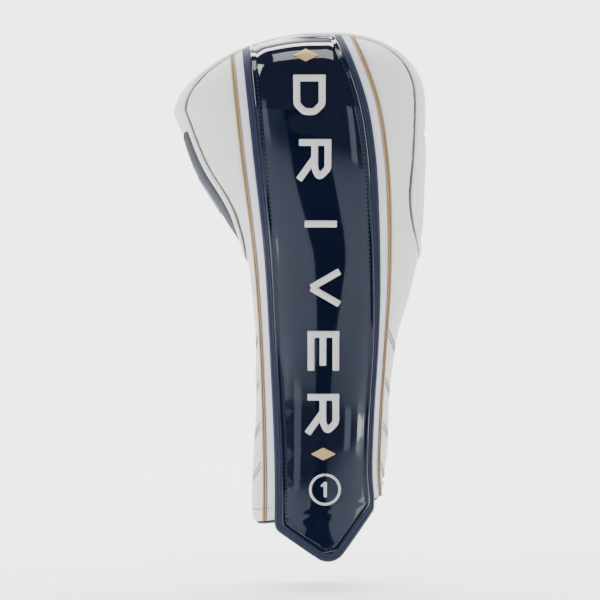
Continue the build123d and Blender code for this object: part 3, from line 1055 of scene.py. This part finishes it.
def elastic_bands():
    for number, band in enumerate(BANDS, start=1):
        outer, inner = [], []
        for z in spread(band + 6, band - 6, 9):
            turns = spread(turn_at(y=NECK_SIDE + 0.5, z=z, side=1), turn_at(y=NECK_SIDE + 0.5, z=z, side=-1), 60)
            outer.append([on_ring(turn, z, 2.4) for turn in turns])
            inner.append([on_ring(turn, z, 3.5) for turn in turns])
        piece = thick_grid(f"elastic_band_{number}", outer, inner, ELASTIC)
        across_neck(piece)
        settle(piece, "elastic", f"neck_elastic_{number}")


elastic_bands()


# ---------------------------------------------------------------- lining, mouth and label
def plush_lining():
    """The plush sock inside the neck and head."""
    columns = 96
    levels = spread(0.0, 236, 80) + [236 + (288.5 - 236) * math.sin(math.radians(a)) for a in spread(5, 84, 18)]
    outer, inner = [], []
    for level in levels:
        outer_row, inner_row = [], []
        for k in range(columns):
            turn = 2 * math.pi * k / columns
            rough = 0.35 * math.sin(turn * 23 + level * 0.9) * math.sin(level * 1.3 + turn * 7)
            point = on_ring(turn, level, 4.4)
            z = hem_z(point.x, level)
            outer_row.append(on_ring(turn, z, 4.4))
            inner_row.append(on_ring(turn, z, 6.4 + rough))
        outer.append(outer_row)
        inner.append(inner_row)
    piece = thick_grid("plush_lining", outer, inner, PLUSH, round_columns=True)
    across_neck(piece)
    settle(piece, "plush", "lining_head", "lining_front", "lining_neck_back")


def mouth_roll():
    """The bound edge all round the mouth."""
    columns, sides = 180, 12
    points = []
    for k in range(columns):
        turn = 2 * math.pi * k / columns
        for s in range(sides):
            around = 2 * math.pi * s / sides
            inset = 4.1 + 2.3 * math.cos(around)
            point = on_ring(turn, 0.0, inset)
            z = HEM_SLOPE * point.x - 1.0 + 1.5 * math.sin(around)
            points.append(on_ring(turn, z, inset))
    faces = grid_faces(columns, sides, round_rows=True, round_columns=True)
    piece = mesh_piece("mouth_roll", points, faces, BINDING_MAT)
    across_neck(piece)
    settle(piece, "binding", "mouth_binding_front", "mouth_binding_back")


def blank_label():
    outer, inner = [], []
    for z in spread(51, 17, 18):
        outer_row, inner_row = [], []
        for j in range(15):
            x = -13 + 26 * j / 14
            turn = turn_at(x=x, z=z, front=False)
            outer_row.append(on_ring(turn, z, 6.9))
            inner_row.append(on_ring(turn, z, 7.5))
        outer.append(outer_row)
        inner.append(inner_row)
    piece = thick_grid("blank_label", outer, inner, LABEL)
    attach(piece, "neck_back")
    settle(piece, "label", "inner_label")


plush_lining()
mouth_roll()
blank_label()


# ---------------------------------------------------------------- raised embroidery
WORD_MIDDLE = (1.0, 158.0)
WORD_LEAN = 0.09
PITCH = 39.0
TALL, WIDE, STROKE = 20.0, 25.0, 4.6


def letter_lines(letter):
    """Centre lines of a block capital that reads downwards, as (down, across) points."""
    down, across = WIDE - STROKE, TALL - STROKE
    corner, waist = across * 0.3, across * 0.48
    bowl_d = [(0, across), (down - corner, across), (down, across - corner), (down, corner), (down - corner, 0), (0, 0)]
    bowl_r = [(0, across), (down - corner, across), (down, across - corner), (down, waist + corner / 2)]
    lines = {
        "D": [bowl_d, [(0, -STROKE / 2), (0, across + STROKE / 2)]],
        "R": [
            [*bowl_r, (down - corner, waist), (0, waist)],
            [(down * 0.45, waist), (down + STROKE / 2, -STROKE / 2)],
            [(0, -STROKE / 2), (0, across + STROKE / 2)],
        ],
        "I": [[(down / 2, -STROKE / 2), (down / 2, across + STROKE / 2)]],
        "V": [[(0, across + STROKE / 2), (down / 2, 0)], [(down / 2, 0), (down, across + STROKE / 2)]],
        "E": [
            [(0, across), (down + STROKE / 2, across)],
            [(0, 0), (down + STROKE / 2, 0)],
            [(0, waist), (down * 0.85 + STROKE / 2, waist)],
            [(0, -STROKE / 2), (0, across + STROKE / 2)],
        ],
    }
    return lines[letter]


def soften(line, step=0.8):
    """The same line with its bends rounded a little."""
    path = resample([Vector((a, 0, b)) for a, b in line], step)
    for _ in range(3):
        path = [path[0]] + [(a + b * 2 + c) / 4 for a, b, c in zip(path, path[1:], path[2:])] + [path[-1]]
    return [(p.x, p.z) for p in path]


def puff_word():
    points, faces = [], []
    lift = lift_on_strip(1.7)
    for place, letter in enumerate("DRIVER"):
        rise = PITCH * (2.5 - place)
        first_x = WORD_MIDDLE[0] - WORD_LEAN * max(rise, 0) - (TALL - STROKE) / 2
        first_z = WORD_MIDDLE[1] + rise + (WIDE - STROKE) / 2
        for line in letter_lines(letter):
            path = soften([(first_x + across, first_z - down) for down, across in line])
            satin(points, faces, path, [STROKE] * len(path), 1.7, lift)
    piece = mesh_piece("puff_word", points, faces, SATIN)
    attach(piece, "cover")
    settle(piece, "thread", "puff_letters")


def gold_marks():
    points, faces = [], []
    for level in (280.0, 35.5):
        middle = WORD_MIDDLE[0] - WORD_LEAN * max(level - WORD_MIDDLE[1], 0)
        path = [(x, level) for x in spread(middle - 7.5, middle + 7.5, 31)]
        widths = [8.5 * (1 - abs(2 * k / 30 - 1)) + 0.5 for k in range(31)]
        satin(points, faces, path, widths, 1.5, lift_on_strip(1.7))
    piece = mesh_piece("gold_lozenges_stitched", points, faces, GOLD_SATIN)
    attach(piece, "cover")
    settle(piece, "gold", "gold_lozenges")


def badge():
    points, faces = [], []
    lift = lift_on_strip(1.6)
    middle = (2.0, 13.5)
    ring = arc_path(middle, 9.1, 90, 450, 72)
    satin(points, faces, ring, [1.9] * len(ring), 1.3, lift)
    satin(points, faces, [(2.2, 8.5), (2.2, 18.5)], [2.4, 2.4], 1.3, lift)
    satin(points, faces, [(2.2, 17.6), (-0.6, 15.2)], [2.0, 1.6], 1.2, lift)
    piece = mesh_piece("ring_badge_stitched", points, faces, SATIN)
    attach(piece, "cover")
    settle(piece, "thread", "ring_badge")


def crown_mark():
    points, faces = [], []
    path = [(-2.0, z) for z in spread(185.0, 209.0, 41)]
    widths = [13.0 * (1 - abs(2 * k / 40 - 1)) + 0.5 for k in range(41)]
    satin(points, faces, path, widths, 0.9, lambda y, z, up: on_side(-1, y, z, -0.9 - up))
    piece = mesh_piece("crown_diamond", points, faces, SATIN)
    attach(piece, "cover")
    settle(piece, "thread", "side_emblem")


puff_word()
gold_marks()
badge()
crown_mark()


# ---------------------------------------------------------------- topstitching
def quilted_line(level, side):
    """The course of one quilting line from the gold cord round the side of the neck."""
    points = []
    z = level
    first = turn_at(x=strip_edge(side, z, CORD_END), z=z)
    last = turn_at(y=NECK_SIDE, z=z, side=side)
    if side < 0:
        first = first if first < 0 else first - 2 * math.pi
        last = last if last < 0 else last - 2 * math.pi
    for turn in spread(first, last, 90):
        for _ in range(12):
            point = on_ring(turn, z)
            z += 0.5 * (level - slant_of(point))
        point = on_ring(turn, z)
        if abs(point.x) >= abs(strip_edge(side, z, CORD_END)) - 1 and z > HEM_SLOPE * point.x + 11:
            points.append((turn, z))
    return points


WALK = 45.0  # millimetres walked for each radian round the neck


def wrap_lift(walk, z, up):
    return on_ring(walk / WALK, z, -0.35 - up)


def neck_quilting():
    for side, label in ((-1, "left"), (1, "right")):
        count = 0
        for level in QUILT_LEVELS:
            for line in (level, level - 3.2):
                path = [(turn * WALK, z) for turn, z in quilted_line(line, side)]
                count += 1
                if len(path) < 8:
                    continue
                row = stitch_row(f"neck_quilting_{label}_{count}", path, wrap_lift, GREY_THREAD, 2.5, 3.1, 0.36)
                across_neck(row)


def hem_lift(walk, z, up):
    return on_ring(walk / WALK, z, -0.75 - up)


def hem_stitching():
    for side, label in ((-1, "left"), (1, "right")):
        near = strip_edge(side, 8.0, 0.4)
        first, last = turn_at(x=near, z=8.0), turn_at(y=NECK_SIDE - 1, z=8.0, side=side)
        if side < 0:
            first = first if first < 0 else first - 2 * math.pi
            last = last if last < 0 else last - 2 * math.pi
        path = []
        for turn in spread(first, last, 60):
            point = on_ring(turn, 8.0)
            path.append((turn * WALK, hem_z(point.x, 7.6)))
        row = stitch_row(f"hem_stitching_{label}", path, hem_lift, GREY_THREAD, 2.2, 3.0, 0.28)
        across_neck(row)


neck_quilting()
hem_stitching()


# ---------------------------------------------------------------- stage, lights and camera
def box_light(name, place, aim, size, power, color=(1, 1, 1)):
    light = bpy.data.lights.new(name, "AREA")
    light.shape = "RECTANGLE"
    light.size, light.size_y = size
    light.energy = power
    light.color = color
    lamp = bpy.data.objects.new(name, light)
    lamp.location = place
    lamp.rotation_euler = (Vector(aim) - Vector(place)).to_track_quat("-Z", "Y").to_euler()
    bpy.context.scene.collection.objects.link(lamp)


def backdrop():
    """A pale floor that sweeps up behind the cover."""
    depth = [(-3.0, -0.05), (0.9, -0.05)]
    for angle in range(10, 91, 10):
        bend = math.radians(angle)
        depth.append((0.9 + 0.9 * math.sin(bend), 0.85 - 0.9 * math.cos(bend)))
    depth += [(1.8, 3.5)]
    points = [Vector((side * 4000, y * 1000, z * 1000)) for y, z in depth for side in (-1, 1)]
    faces = grid_faces(len(depth), 2)
    material, tree, shader = start_material("pale_paper", rough=0.9)
    shader.inputs["Base Color"].default_value = (0.92, 0.92, 0.92, 1.0)
    shader.inputs["Emission Color"].default_value = (1.0, 1.0, 1.0, 1.0)
    shader.inputs["Emission Strength"].default_value = 0.55
    piece = mesh_piece("backdrop", points, faces, material)


FAR = -3200.0  # how far towards the camera the floor cards reach


def floor_card(name, half_near, half_far, near, height, color):
    """A card on the floor in front that shows only in mirrored light, to set what the gloss strip mirrors."""
    corners = [(-half_far, FAR, height), (half_far, FAR, height), (half_near, near, height), (-half_near, near, height)]
    material, tree, shader = start_material(name, rough=0.9, specular=0.1)
    shader.inputs["Base Color"].default_value = (*color, 1.0)
    piece = mesh_piece(name, [Vector(corner) for corner in corners], [(0, 1, 2, 3)], material)
    piece.visible_camera = piece.visible_diffuse = piece.visible_shadow = False


backdrop()
floor_card("grey_card", 2600, 2600, -95, -49, (0.34, 0.37, 0.44))
floor_card("black_card", 45, 330, -110, -48, (0.008, 0.008, 0.01))
box_light("left_softbox", (-1.5, -0.9, 0.9), (0, 0, 0.14), (0.8, 1.5), 44)
box_light("right_softbox", (1.4, -0.7, 0.5), (0, 0, 0.14), (0.5, 1.2), 20)
box_light("top_softbox", (0.0, -0.9, 2.0), (0, 0, 0.15), (1.4, 1.0), 26)
box_light("left_glow", (-0.95, -1.5, 0.0), (0, 0, 0.14), (0.45, 0.8), 1.5, (0.75, 0.85, 1.0))
box_light("right_glow", (0.95, -1.5, 0.0), (0, 0, 0.14), (0.35, 0.8), 1.5, (0.75, 0.85, 1.0))
box_light("back_wash", (0.0, 0.6, 2.2), (0, 1.8, 0.1), (3.0, 0.8), 150)

world = bpy.data.worlds.new("soft_room")
world.use_nodes = True
world.node_tree.nodes["Background"].inputs["Color"].default_value = (0.92, 0.96, 1.0, 1.0)
world.node_tree.nodes["Background"].inputs["Strength"].default_value = 0.15
bpy.context.scene.world = world

camera_data = bpy.data.cameras.new("front_camera")
camera_data.lens = 142.0
camera = bpy.data.objects.new("front_camera", camera_data)
camera.location = (-0.0135, -1.5, 0.131)
camera.rotation_euler = (math.radians(90), 0, 0)
bpy.context.scene.collection.objects.link(camera)
bpy.context.scene.camera = camera
